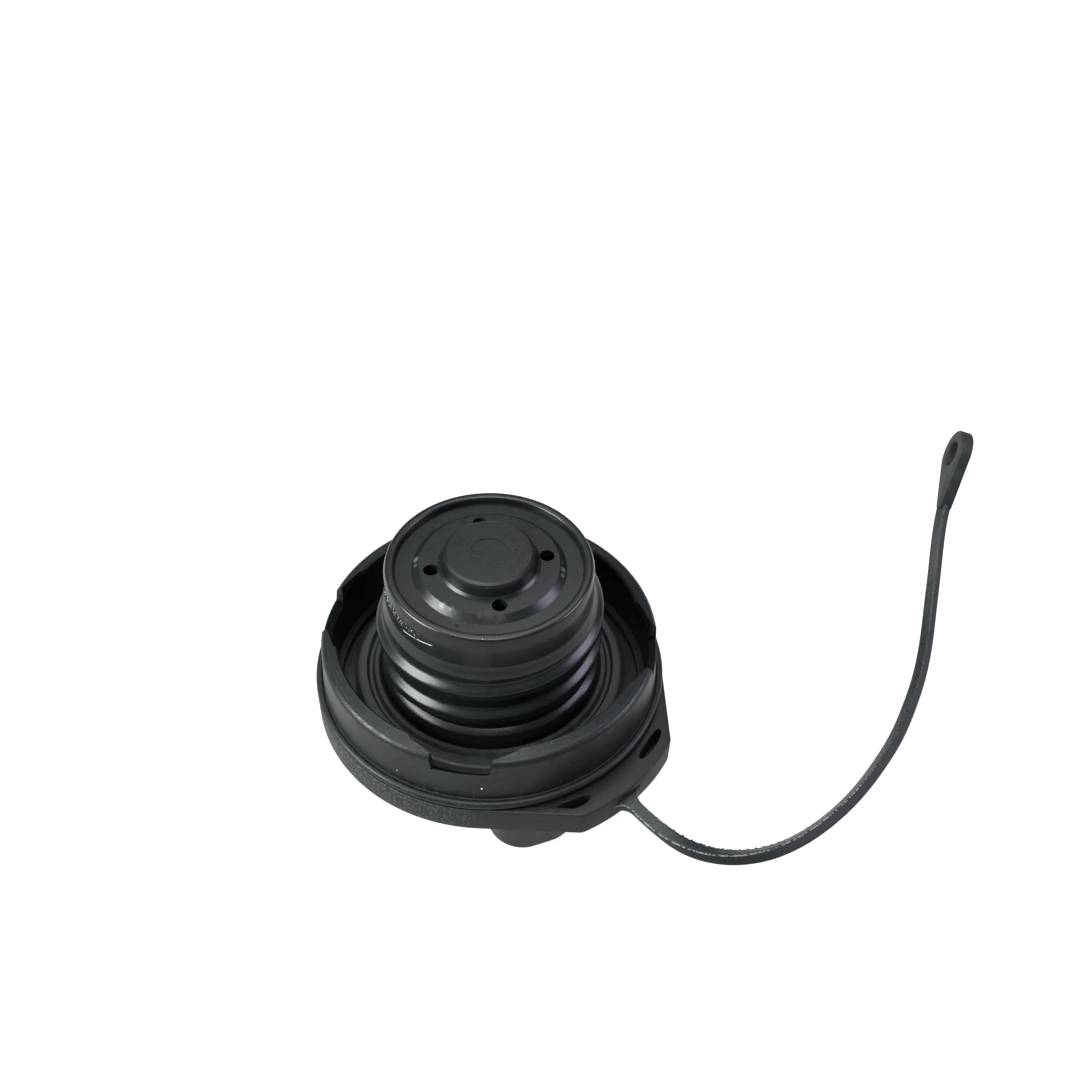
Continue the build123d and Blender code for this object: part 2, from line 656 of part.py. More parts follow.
def pressure_spring():
    return coil(pressure_spring_radius, pressure_spring_wire, seat_disc_top, plate_bottom,
                pressure_spring_turns)


def vacuum_spring():
    return coil(vacuum_spring_radius, vacuum_spring_wire, clip_top, plate_bottom,
                vacuum_spring_turns)


# ---------------------------------------------------------------- export
pieces = (
    grip_cover, skirt_ring, drive_ring, tether, plug_body, main_gasket, nose_cap, nose_o_ring,
    pressure_plate, pressure_seal, seal_retainer, pressure_spring, spring_seat,
    vacuum_poppet, vacuum_seal, vacuum_clip, vacuum_spring,
)

os.makedirs("parts", exist_ok=True)
for piece in pieces:
    export_step(piece(), f"parts/{piece.__name__}.step")
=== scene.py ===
"""Looks of the screw-in fuel filler cap: finishes, mouldings, dirt, light and camera."""

import bpy
import numpy as np
from mathutils import Matrix, Vector


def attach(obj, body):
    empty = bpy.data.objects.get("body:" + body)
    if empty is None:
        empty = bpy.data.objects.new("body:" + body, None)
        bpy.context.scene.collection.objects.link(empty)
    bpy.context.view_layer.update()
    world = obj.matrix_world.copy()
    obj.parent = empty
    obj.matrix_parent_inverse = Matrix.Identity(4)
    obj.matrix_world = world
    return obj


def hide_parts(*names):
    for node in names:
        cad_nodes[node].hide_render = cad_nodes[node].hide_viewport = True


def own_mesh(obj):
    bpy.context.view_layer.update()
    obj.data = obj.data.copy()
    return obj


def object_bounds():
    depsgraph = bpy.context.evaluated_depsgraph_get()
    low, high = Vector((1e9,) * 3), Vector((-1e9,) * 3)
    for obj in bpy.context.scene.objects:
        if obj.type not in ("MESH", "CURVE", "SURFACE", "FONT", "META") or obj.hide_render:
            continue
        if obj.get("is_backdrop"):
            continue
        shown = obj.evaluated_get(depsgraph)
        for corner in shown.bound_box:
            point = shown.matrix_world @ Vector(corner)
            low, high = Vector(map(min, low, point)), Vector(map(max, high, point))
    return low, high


MM = 0.001
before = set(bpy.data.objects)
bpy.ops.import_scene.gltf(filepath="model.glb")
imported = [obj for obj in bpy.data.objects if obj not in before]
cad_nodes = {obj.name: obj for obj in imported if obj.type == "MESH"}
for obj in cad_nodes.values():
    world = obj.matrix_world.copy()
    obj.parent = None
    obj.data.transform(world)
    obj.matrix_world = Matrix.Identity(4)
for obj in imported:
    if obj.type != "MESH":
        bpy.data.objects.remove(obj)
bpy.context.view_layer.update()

# ---------------------------------------------------------------- sizes, in mm and degrees
RING_BOTTOM, RING_TOP = 15.0, 21.4          # tether ring
RING_BORE, RING_OUTSIDE = 36.1, 37.8
REBATE_BORE, REBATE_TOP = 36.9, 16.45       # the ring steps out round the cover's rim
LOBE_OUTSIDE, LOBE_CORNER = 43.2, 3.0
LOBE_DIRECTION, LOBE_HALF = 300.0, 21.0
LOBE_WALL = 1.8
SLOT_MIDDLE, SLOT_WIDTH = 39.9, 2.0
SLOT_DIRECTIONS, SLOT_HALF = (280.8, 313.8), 6.4
SLOT_FLOOR = 16.4
RING_EDGE, EYELET_EDGE = 0.35, 0.45         # rounded edges
STRAP_WIDTH, STRAP_THICKNESS, STRAP_CORNER = 2.7, 2.4, 0.55
STRAP_DIRECTION, ROOT_FLARE = 297.0, 2.8
EYELET_OUTSIDE, EYELET_BORE, EYELET_THICKNESS, EYELET_NECK = 6.0, 3.1, 3.0, 13.5
EYELET_CENTRE = (126.5, 28.5, 34.0)
EYELET_RUN = (0.458, 0.664, 0.591)
EYELET_AXIS = (-0.882, 0.425, 0.206)
# Middle line of the strap from lobe to eyelet, and how far its grained face leans in there
STRAP_ROUTE = (
    (21.2, -41.9, 18.0, -18), (23.9, -46.7, 17.8, -16), (27.5, -50.8, 17.0, 4),
    (33.1, -53.7, 15.6, 21), (40.7, -54.6, 13.7, 37), (51.1, -52.5, 11.0, 49),
    (61.8, -47.7, 8.2, 54), (71.8, -41.6, 5.7, 56), (81.2, -34.5, 3.5, 53),
    (90.2, -26.7, 2.0, 49), (97.1, -19.5, 1.9, 47), (102.8, -12.7, 3.2, 46),
    (107.5, -5.6, 6.2, 44), (111.0, 1.2, 10.8, 43), (113.8, 7.0, 15.5, 41),
)
STRAP_END_LEAN = 40
STRAP_SPACING = 0.22                        # between the sections along it
FLASH_HEIGHT, FLASH_START, FLASH_END = 0.16, 5.0, 60.0
PLUG_WALL = 21.4                            # plain wall below the nose
NOSE_OUTSIDE, NOSE_INSIDE, NOSE_TOP = 21.2, 19.12, 53.6
NOSE_EDGE, LIP_EDGE = 0.8, 0.6              # roundings of the lip, outside and inside
DISC_TOP = 52.0
WALL_FOOT, WALL_TOP, BLEND_FOOT = 46.0, 52.2, 43.0
THREAD_ROOT, THREAD_CREST, THREAD_PITCH = 22.3, 23.8, 7.3
THREAD_FOOT, THREAD_START, THREAD_TURN = 29.4, 162.0, 594.0
THREAD_LAND, THREAD_FLANK, THREAD_UNDERCUT = 1.4, 1.9, 0.6
THREAD_RUNOUT = 30.0
THREAD_ROW = 0.16                           # height of a row of the thread's mesh
COLLAR_OUTSIDE, COLLAR_TOP, GASKET_SEAT = 23.5, 27.3, 21.4
GRIT_DIRECTION, GRIT_SPREAD = 183.0, 34.0   # where the crumbs start, and how far round they go
GRIT_TOP, GRIT_BAND, GRIT_COUNT = 51.9, 2.2, 90
CRUMB_STAND_OFF = 0.02
FLOOR_HALF_WIDTH, FLOOR_GAP = 3000.0, 0.1
# Each spring's CAD node, body, joint, height of its fixed end and share of its length kept
SPRINGS = (("pressure_spring", "plug", "pressure_relief", 27.4, 0.901),
           ("vacuum_spring", "pressure_valve", "vacuum_relief", 42.6, 0.75))


# ---------------------------------------------------------------- nodes of a finish
def srgb(code):
    """Linear RGBA of an sRGB hex code such as "1d2022"."""
    parts = [int(code[i:i + 2], 16) / 255 for i in (0, 2, 4)]
    return [c / 12.92 if c <= 0.04045 else ((c + 0.055) / 1.055) ** 2.4 for c in parts] + [1.0]


def add(tree, kind, inputs=None, **settings):
    """Adds a node; inputs maps a socket's name or index to a value or to another socket."""
    node = tree.nodes.new("ShaderNode" + kind)
    for name, value in settings.items():
        setattr(node, name, value)
    for key, value in (inputs or {}).items():
        socket = node.inputs[key]
        if isinstance(value, bpy.types.NodeSocket):
            tree.links.new(value, socket)
        else:
            socket.default_value = value
    return node


def moulding(name, **sockets):
    """New material with its shader sockets set, its tree, its shader and object coordinates."""
    material = bpy.data.materials.new(name)
    material.use_nodes = True
    tree = material.node_tree
    shader = tree.nodes["Principled BSDF"]
    for socket, value in sockets.items():
        shader.inputs[socket.replace("_", " ")].default_value = value
    return material, tree, shader, add(tree, "TexCoord").outputs["Object"]


def haze(tree, place, size, low=0.45, high=0.65, detail=4.0):
    """Mask of soft patches about `size` mm across."""
    cloud = add(tree, "TexNoise", {"Vector": place, "Scale": 1 / (size * MM), "Detail": detail})
    return add(tree, "MapRange", {"Value": cloud.outputs["Fac"], "From Min": low, "From Max": high},
               interpolation_type="SMOOTHSTEP").outputs["Result"]


def grit(tree, place, spacing, share, size):
    """Mask of grains of unlike sizes, up to `size` mm across, in a share of the cells.

    The cells are `spacing` mm wide, and a noise bends them out of their grid.
    """
    bent = add(tree, "TexNoise", {"Vector": place, "Scale": 1 / (0.5 * spacing * MM),
                                  "Detail": 2.0})
    bend = (0.6 * spacing * MM,) * 3
    bent = add(tree, "VectorMath", {0: bent.outputs["Color"], 1: bend, 2: place},
               operation="MULTIPLY_ADD").outputs[0]
    cells = add(tree, "TexVoronoi", {"Vector": bent, "Scale": 1 / (spacing * MM)})
    pick = add(tree, "SeparateColor", {0: cells.outputs["Color"]}).outputs[0]
    radius = add(tree, "MapRange", {"Value": pick, "From Min": 0.0, "From Max": share,
                                    "To Min": 0.5 * size / spacing, "To Max": 0.0})
    return add(tree, "MapRange", {"Value": cells.outputs["Distance"],
                                  "From Min": radius.outputs["Result"], "From Max": 0.0,
                                  "To Max": 1.6}).outputs["Result"]


def within(tree, value, start, end, fade):
    """Mask that is 1 from start to end and fades out over `fade` on both sides."""
    middle, half = (start + end) / 2, (end - start) / 2
    gap = add(tree, "Math", {0: value, 1: middle}, operation="SUBTRACT").outputs[0]
    gap = add(tree, "Math", {0: gap}, operation="ABSOLUTE").outputs[0]
    return add(tree, "MapRange", {"Value": gap, "From Min": half + fade, "From Max": half},
               interpolation_type="SMOOTHSTEP").outputs["Result"]


def overlap(tree, first, *others):
    """Mask that is 1 only where all the masks are."""
    mask = first
    for other in others:
        mask = add(tree, "Math", {0: mask, 1: other}, operation="MULTIPLY").outputs[0]
    return mask


def around_axis(tree, place):
    """Angle round the axis in degrees, from -180 to 180 with 0 along -X, and height in mm."""
    parts = add(tree, "SeparateXYZ", {0: place})
    back = add(tree, "Math", {0: parts.outputs[0], 1: -1.0}, operation="MULTIPLY").outputs[0]
    side = add(tree, "Math", {0: parts.outputs[1], 1: -1.0}, operation="MULTIPLY").outputs[0]
    turn = add(tree, "Math", {0: side, 1: back}, operation="ARCTAN2").outputs[0]
    turn = add(tree, "Math", {0: turn}, operation="DEGREES").outputs[0]
    height = add(tree, "Math", {0: parts.outputs[2], 1: 1 / MM}, operation="MULTIPLY").outputs[0]
    return turn, height


def spots(tree, place, marks):
    """Mask of single marks, each given as its place (x, y, z) and radius in mm."""
    mask = None
    for *centre, radius in marks:
        gap = add(tree, "VectorMath", {0: place, 1: [c * MM for c in centre]}, operation="DISTANCE")
        dot = add(tree, "MapRange", {"Value": gap.outputs["Value"], "From Min": 1.3 * radius * MM,
                                     "From Max": 0.6 * radius * MM}).outputs["Result"]
        if mask is not None:
            dot = add(tree, "Math", {0: mask, 1: dot}, operation="MAXIMUM").outputs[0]
        mask = dot
    return mask


def colours(tree, shader, base, *layers):
    """Base colour with further colours laid over it where their masks are 1."""
    result = srgb(base)
    for mask, code in layers:
        result = add(tree, "Mix", {0: mask, 6: result, 7: srgb(code)}, data_type="RGBA").outputs[2]
    tree.links.new(result, shader.inputs["Base Color"])


def gloss(tree, shader, base, *layers):
    """Roughness with other values laid over it where their masks are 1."""
    result = base
    for mask, value in layers:
        result = add(tree, "Mix", {0: mask, 2: result, 3: value}).outputs[0]
    tree.links.new(result, shader.inputs["Roughness"])


def relief(tree, shader, *layers):
    """Raises the surface by each layer's height in mm where its mask is 1."""
    height = 0.0
    for mask, rise in layers:
        height = add(tree, "Math", {0: mask, 1: rise * MM, 2: height},
                     operation="MULTIPLY_ADD").outputs[0]
    bump = add(tree, "Bump", {"Height": height, "Distance": 1.0})
    tree.links.new(bump.outputs[0], shader.inputs["Normal"])


# ---------------------------------------------------------------- finishes
def weathered_nylon():
    """Glass-filled nylon, moulded: satin black, clouded by age, dusty, pitted in its groove."""
    material, tree, shader, place = moulding("weathered_nylon", IOR=1.53, Specular_IOR_Level=0.17)
    turn, height = around_axis(tree, place)
    clouds = haze(tree, place, 7.0)
    mottle = haze(tree, place, 1.6, 0.42, 0.62, detail=6.0)
    # Coarser than the real grain, so that it shows
    fine = haze(tree, place, 0.45, 0.3, 0.7, detail=2.0)
    dust = grit(tree, place, 1.3, 0.16, 0.34)
    foot = within(tree, height, 20.5, 25.5, 1.2)
    left = within(tree, turn, 10.0, 75.0, 14.0)
    pits = overlap(tree, foot, left, grit(tree, place, 0.75, 0.7, 0.5))
    shoulder = overlap(tree, within(tree, height, 32.6, 35.0, 0.5), mottle)
    flecks = spots(tree, place, ((-9.7, -34.7, 26.6, 0.22), (-24.9, -25.9, 26.0, 0.16)))
    colours(tree, shader, "0b0e0f", (clouds, "0f1314"), (mottle, "111617"), (dust, "4c5254"),
            (pits, "2c3132"), (flecks, "b9bebc"))
    gloss(tree, shader, 0.44, (clouds, 0.4), (shoulder, 0.3), (dust, 0.8), (pits, 0.35))
    relief(tree, shader, (fine, 0.006), (mottle, 0.008), (dust, 0.05), (pits, -0.09), (flecks, 0.1))
    return material


def grained_elastomer():
    """Elastomer from a spark-eroded mould: fine even grain, dull, pale with dust at the left, its
    top face painted darker as shade.
    """
    material, tree, shader, place = moulding("grained_elastomer", IOR=1.5, Specular_IOR_Level=0.2)
    turn, height = around_axis(tree, place)
    # About twice the real grain, so that it shows
    grain = haze(tree, place, 0.32, 0.35, 0.65, detail=2.0)
    worn = haze(tree, place, 5.0)
    left = within(tree, turn, -20.0, 60.0, 25.0)
    dusty = overlap(tree, left, haze(tree, place, 0.5, 0.5, 0.6))
    dust = grit(tree, place, 0.9, 0.25, 0.3)
    # Painted shade: the top face is coloured darker than the sides, and given a smoother finish
    painted_shade_top = within(tree, height, RING_TOP - 0.05, RING_TOP + 0.2, 0.05)
    colours(tree, shader, "101314", (worn, "161a1c"), (dusty, "2a2f30"), (painted_shade_top, "090b0c"),
            (dust, "33393b"))
    gloss(tree, shader, 0.55, (worn, 0.62), (dusty, 0.45), (painted_shade_top, 0.38))
    relief(tree, shader, (grain, 0.02), (dust, 0.04))
    return material


def strap_elastomer():
    """The strap's elastomer: one grained face that glitters, smooth sides, a scuffed corner with a
    painted highlight along it.
    """
    material, tree, shader, place = moulding("strap_elastomer", IOR=1.5, Specular_IOR_Level=0.22)
    along = add(tree, "SeparateXYZ", {0: add(tree, "UVMap").outputs["UV"]})
    face = within(tree, along.outputs[1], 0.155, 0.345, 0.02)
    corner = within(tree, along.outputs[1], 0.352, 0.402, 0.015)
    back_corner = within(tree, along.outputs[1], 0.1, 0.15, 0.015)
    near = within(tree, along.outputs[0], 5.0, 62.0, 20.0)
    grain = haze(tree, place, 0.4, 0.35, 0.65, detail=3.0)
    glitter = overlap(tree, face, haze(tree, place, 0.5, 0.52, 0.6, detail=3.0))
    # Painted highlight: the corner beside the grained face is coloured pale in specks, palest near
    # the lobe, over a real scuffed relief
    scuffs_and_highlight = overlap(tree, haze(tree, place, 0.7, 0.42, 0.55, detail=4.0), corner)
    scuffs_and_highlight_near = overlap(tree, near, scuffs_and_highlight)
    flash = overlap(tree, near, back_corner, haze(tree, place, 0.9, 0.45, 0.55))
    colours(tree, shader, "101415", (face, "131718"), (glitter, "1f2526"), (scuffs_and_highlight, "23292a"),
            (scuffs_and_highlight_near, "5a6062"), (flash, "3a4143"))
    gloss(tree, shader, 0.62, (face, 0.42), (glitter, 0.3), (scuffs_and_highlight, 0.4))
    relief(tree, shader, (grain, 0.012), (glitter, 0.05), (scuffs_and_highlight, 0.05))
    return material


def glossy_acetal():
    """Moulded acetal: dense black with a soft gloss, hazed by fuel film and caked with grit, with a
    painted highlight along the film's edge.
    """
    material, tree, shader, place = moulding("plug_acetal", IOR=1.48, Specular_IOR_Level=0.25)
    turn, height = around_axis(tree, place)
    film = haze(tree, place, 6.0, 0.35, 0.7, detail=2.0)
    mottle = haze(tree, place, 1.4, 0.45, 0.6, detail=5.0)
    specks = grit(tree, place, 1.6, 0.05, 0.26)
    ragged = haze(tree, place, 0.6, 0.3, 0.7)
    # Dried fuel film on the plain wall, left: a ragged patch whose lower edge is a raised line,
    # painted pale as a highlight
    top = add(tree, "MapRange", {"Value": turn, "From Min": 3.0, "From Max": 46.0, "To Min": 50.9,
                                 "To Max": 52.9}).outputs["Result"]
    line = add(tree, "MapRange", {"Value": turn, "From Min": 25.0, "From Max": 46.0, "To Min": 47.5,
                                  "To Max": 48.9}).outputs["Result"]
    under_top = add(tree, "Math", {0: top, 1: height}, operation="SUBTRACT").outputs[0]
    over_line = add(tree, "Math", {0: height, 1: line}, operation="SUBTRACT").outputs[0]
    patch = overlap(tree, within(tree, turn, 4.0, 37.0, 5.0),
                    within(tree, under_top, 0.0, 3.4, 0.5))
    flat = add(tree, "VectorMath", {0: place, 1: (1.0, 1.0, 0.0)}, operation="MULTIPLY").outputs[0]
    radius = add(tree, "VectorMath", {0: flat}, operation="LENGTH").outputs["Value"]
    on_wall = within(tree, radius, 21.1 * MM, 24.0 * MM, 0.1 * MM)
    debris = overlap(tree, patch, on_wall, grit(tree, place, 0.8, 0.75, 0.7))
    # Painted highlight: the film's lower edge is coloured near white, on a real raised and smoother
    # edge
    film_edge_highlight = overlap(tree, within(tree, turn, 25.0, 45.0, 1.5),
                    within(tree, over_line, 0.0, 0.12, 0.08))
    wear = spots(tree, place, (
        (-14.1, 4.9, 52.5, 0.7), (-14.4, 3.2, 52.4, 0.5), (-11.3, -8.8, 52.5, 0.8),
        (-9.8, -10.2, 52.6, 0.6), (14.1, -4.8, 52.5, 0.6), (14.3, -3.0, 52.4, 0.45),
        (13.5, -6.3, 52.4, 0.5)))
    rust = overlap(tree, spots(tree, place, (
        (-3.1, -13.6, 52.8, 1.0), (-1.2, -14.4, 52.6, 0.9), (-5.0, -13.2, 52.6, 0.7))), ragged)
    chips = spots(tree, place, ((-3.4, -8.3, 55.8, 0.2), (-2.6, -8.9, 55.6, 0.14),
                                (-5.9, -19.9, 53.5, 0.1), (-8.6, -4.1, 55.9, 0.14)))
    dots = spots(tree, place, (
        (-9.6, -13.9, 52.0, 0.35), (5.5, -0.6, 56.3, 0.25), (5.0, -1.4, 56.3, 0.16)))
    colours(tree, shader, "0b0e0f", (film, "0e1213"), (mottle, "0f1314"), (specks, "3a4042"),
            (rust, "221e1a"), (wear, "3c4345"), (debris, "050606"), (film_edge_highlight, "9da3a2"),
            (chips, "aab0b0"), (dots, "030303"))
    gloss(tree, shader, 0.27, (film, 0.29), (mottle, 0.28), (wear, 0.2), (rust, 0.6),
          (debris, 0.25), (film_edge_highlight, 0.2), (dots, 0.6))
    relief(tree, shader, (film, 0.004), (specks, 0.05), (wear, 0.02), (debris, 0.16),
           (film_edge_highlight, 0.07), (chips, 0.1), (dots, -0.1))
    return material


def sealing_rubber():
    """Nitrile face gasket, moulded: dull black with a grey bloom, flecked with dust."""
    material, tree, shader, place = moulding("sealing_rubber", IOR=1.52, Specular_IOR_Level=0.26)
    worn = haze(tree, place, 3.0)
    specks = grit(tree, place, 1.2, 0.22, 0.3)
    flecks = spots(tree, place, ((-3.5, -25.9, 22.9, 0.3), (-14.6, -21.9, 23.0, 0.22)))
    colours(tree, shader, "111617", (worn, "161b1d"), (specks, "454b4d"), (flecks, "a8adac"))
    gloss(tree, shader, 0.5, (worn, 0.6))
    relief(tree, shader, (worn, 0.006), (specks, 0.05))
    return material


def seal_rubber():
    """Fluoro-rubber ring, moulded: dull, with a slight bloom."""
    material, tree, shader, place = moulding("seal_rubber", IOR=1.4)
    bloom = haze(tree, place, 2.0)
    colours(tree, shader, "16181a", (bloom, "202325"))
    gloss(tree, shader, 0.5, (bloom, 0.62))
    return material


def zinc_plated_steel():
    """Pressed steel, bright zinc: faint rolling streaks and a patchy passivate."""
    material, tree, shader, place = moulding("zinc_plated_steel", Metallic=1.0)
    streaks = add(tree, "Mapping", {"Vector": place, "Scale": (1.0, 12.0, 1.0)}).outputs[0]
    streaks = haze(tree, streaks, 2.0)
    tint = haze(tree, place, 4.0)
    colours(tree, shader, "a9adb0", (tint, "b5b09f"))
    gloss(tree, shader, 0.28, (streaks, 0.4))
    relief(tree, shader, (streaks, 0.002))
    return material


def spring_wire():
    """Drawn stainless wire: bright, with fine draw marks."""
    material, tree, shader, place = moulding("stainless_spring_wire", Metallic=1.0)
    marks = haze(tree, place, 0.4)
    colours(tree, shader, "9da1a5", (marks, "888c90"))
    gloss(tree, shader, 0.22, (marks, 0.35))
    return material


def natural_acetal():
    """Undyed acetal: milky white, slightly mottled."""
    material, tree, shader, place = moulding("natural_acetal", IOR=1.48)
    flow = haze(tree, place, 4.0)
    colours(tree, shader, "dcdcd6", (flow, "d2d1c8"))
    gloss(tree, shader, 0.35, (flow, 0.45))
    return material


def caked_grit():
    """Road dust caked on the plug: rough mineral crumbs, dark grey with paler faces."""
    material, tree, shader, place = moulding("caked_grit", IOR=1.5)
    pale = haze(tree, place, 0.25, 0.5, 0.6)
    colours(tree, shader, "1b1f20", (pale, "6d7473"))
    gloss(tree, shader, 0.35, (pale, 0.6))
    return material


nylon = weathered_nylon()
elastomer = grained_elastomer()
strap_finish = strap_elastomer()
plug_acetal = glossy_acetal()
gasket_rubber = sealing_rubber()
inner_rubber = seal_rubber()
steel = zinc_plated_steel()
wire = spring_wire()
white_acetal = natural_acetal()
grit_finish = caked_grit()
finishes = {
    "grip_cover": nylon, "skirt_ring": nylon, "tether": elastomer, "main_gasket": gasket_rubber,
    "plug_body": plug_acetal, "nose_cap": plug_acetal,
    "pressure_seal": inner_rubber, "vacuum_seal": inner_rubber, "nose_o_ring": inner_rubber,
    "pressure_plate": steel, "seal_retainer": steel, "vacuum_clip": steel,
    "pressure_spring": wire, "vacuum_spring": wire,
    "drive_ring": white_acetal, "vacuum_poppet": white_acetal, "spring_seat": white_acetal,
}
for name, cad in cad_nodes.items():
    for slot in cad.material_slots:
        slot.material = finishes[name]


# ---------------------------------------------------------------- meshes from grids
def placed(name, mesh, material, body):
    """Piece that shows a mesh in one finish and rides on a body."""
    mesh.materials.append(material)
    piece = bpy.data.objects.new(name, mesh)
    bpy.context.scene.collection.objects.link(piece)
    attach(piece, body)
    return piece


def surface(name, points, material, body, tube=False, uv=None):
    """Mesh over a grid of points in mm (rows, columns, 3).

    The columns join round on themselves. The rows do too, unless the piece is a tube, whose ends
    are closed by a face each. uv gives the texture coordinates of the rows and of the columns.
    """
    rows, columns = points.shape[:2]
    bands = rows - 1 if tube else rows
    i, j = np.meshgrid(np.arange(bands), np.arange(columns), indexing="ij")
    i_next, j_next = (i + 1) % rows, (j + 1) % columns
    quads = np.stack([i * columns + j, i * columns + j_next, i_next * columns + j_next,
                      i_next * columns + j], axis=-1).reshape(-1, 4)
    flat = points.reshape(-1, 3) * MM
    corners = flat[quads]
    middles = corners.mean(axis=1)
    across = np.cross(corners[:, 2] - corners[:, 0], corners[:, 3] - corners[:, 1])
    inside_out = (middles * across).sum() < 0
    if inside_out:
        quads = quads[:, ::-1]
    faces = quads.tolist()
    if tube:
        first, last = np.arange(columns), np.arange(columns) + (rows - 1) * columns
        ends = (first, last[::-1]) if inside_out else (first[::-1], last)
        faces += [end.tolist() for end in ends]
    mesh = bpy.data.meshes.new(name)
    mesh.from_pydata(flat.tolist(), [], faces)
    if uv is not None:
        u, v = uv
        u_of, v_of = u[np.stack([i, i, i + 1, i + 1], -1)], v[np.stack([j, j + 1, j + 1, j], -1)]
        table = np.stack([u_of, v_of], axis=-1).reshape(-1, 4, 2)
        if inside_out:
            table = table[:, ::-1]
        layer = mesh.uv_layers.new(name="UVMap")
        flat_uv = np.zeros(len(layer.uv) * 2, dtype=np.float32)
        flat_uv[:table.size] = table.ravel()
        layer.uv.foreach_set("vector", flat_uv)
    mesh.polygons.foreach_set("use_smooth", np.ones(len(faces), dtype=bool))
    mesh.set_sharp_from_angle(angle=np.radians(38))
    return placed(name, mesh, material, body)


def polar(radius, direction, height):
    """Points in mm from radius, direction in degrees and height."""
    turn = np.radians(direction)
    return np.stack(np.broadcast_arrays(
        radius * np.cos(turn), radius * np.sin(turn), height), axis=-1)


# ---------------------------------------------------------------- tether
def lobe_radius(directions):
    """Outer radius of the tether ring at each direction.

    The crown is an arc. Beside it comes the far side of a rounded corner, r = c cos d +
    sqrt(k^2 - c^2 sin^2 d), then a straight flank, r = R / cos(d), that touches the ring's circle.
    """
    centre = LOBE_OUTSIDE - LOBE_CORNER
    crown = LOBE_HALF - np.degrees(LOBE_CORNER / centre)
    beside = np.abs((directions - LOBE_DIRECTION + 180) % 360 - 180) - crown
    lean = np.degrees(np.arccos((RING_OUTSIDE - LOBE_CORNER) / centre))
    touch = np.array([centre + LOBE_CORNER * np.cos(np.radians(lean)),
                      LOBE_CORNER * np.sin(np.radians(lean))])
    corner_end = np.degrees(np.arctan2(touch[1], touch[0]))
    turn = np.radians(beside)
    corner = centre * np.cos(turn) + np.sqrt(
        np.maximum(LOBE_CORNER ** 2 - (centre * np.sin(turn)) ** 2, 0))
    flank = RING_OUTSIDE / np.cos(np.radians(np.clip(lean - beside, 0, 60)))
    return np.select([beside <= 0, beside <= corner_end, beside <= lean],
                     [LOBE_OUTSIDE, corner, flank], RING_OUTSIDE)


def tether_band():
    """Ring with its lobe: a rounded section at each direction, with two pockets in the lobe."""
    step = 0.02                              # a slot's wall drops over twice this width
    ends = [middle + side * SLOT_HALF + gap for middle in SLOT_DIRECTIONS
            for side in (-1, 1) for gap in (-step, step)]
    directions = np.union1d(np.arange(0, 360, 0.3), ends)
    outside = lobe_radius(directions)
    edge = RING_EDGE
    quarter = np.radians(np.linspace(0, 90, 4))
    sunk, rise = edge * (1 - np.sin(quarter)), edge * (1 - np.cos(quarter))
    full = np.ones_like(directions)
    off = np.min([np.abs(directions - d) for d in SLOT_DIRECTIONS], axis=0) / SLOT_HALF
    slot = SLOT_WIDTH / 2 * np.sqrt(np.clip(1 - off ** 3, 0, 1))
    slot_out = np.minimum(SLOT_MIDDLE + slot, outside - LOBE_WALL)
    slot_in = np.minimum(SLOT_MIDDLE - slot, slot_out)
    well = np.where(slot_out - slot_in > 0.2, SLOT_FLOOR, RING_TOP)
    room = outside - edge
    rows = [(REBATE_BORE * full, RING_BOTTOM * full), (REBATE_BORE * full, REBATE_TOP * full),
            (RING_BORE * full, REBATE_TOP * full)]
    rows += [((RING_BORE + inward) * full, (RING_TOP - drop) * full)
             for inward, drop in zip(rise, sunk)]
    rows += [(np.minimum(slot_in - step, room - 0.12), RING_TOP * full),
             (np.minimum(slot_in + step, room - 0.09), well),
             (np.minimum(slot_out - step, room - 0.06), well),
             (np.minimum(slot_out + step, room - 0.03), RING_TOP * full)]
    rows += [(outside - inward, (RING_TOP - drop) * full)
             for inward, drop in zip(rise[::-1], sunk[::-1])]
    rows += [(outside, (RING_BOTTOM + edge) * full), (outside - edge, RING_BOTTOM * full)]
    grid = np.stack([polar(radius, directions, height) for radius, height in rows])
    return surface("tether_ring_and_lobe", grid, elastomer, "tether_ring")


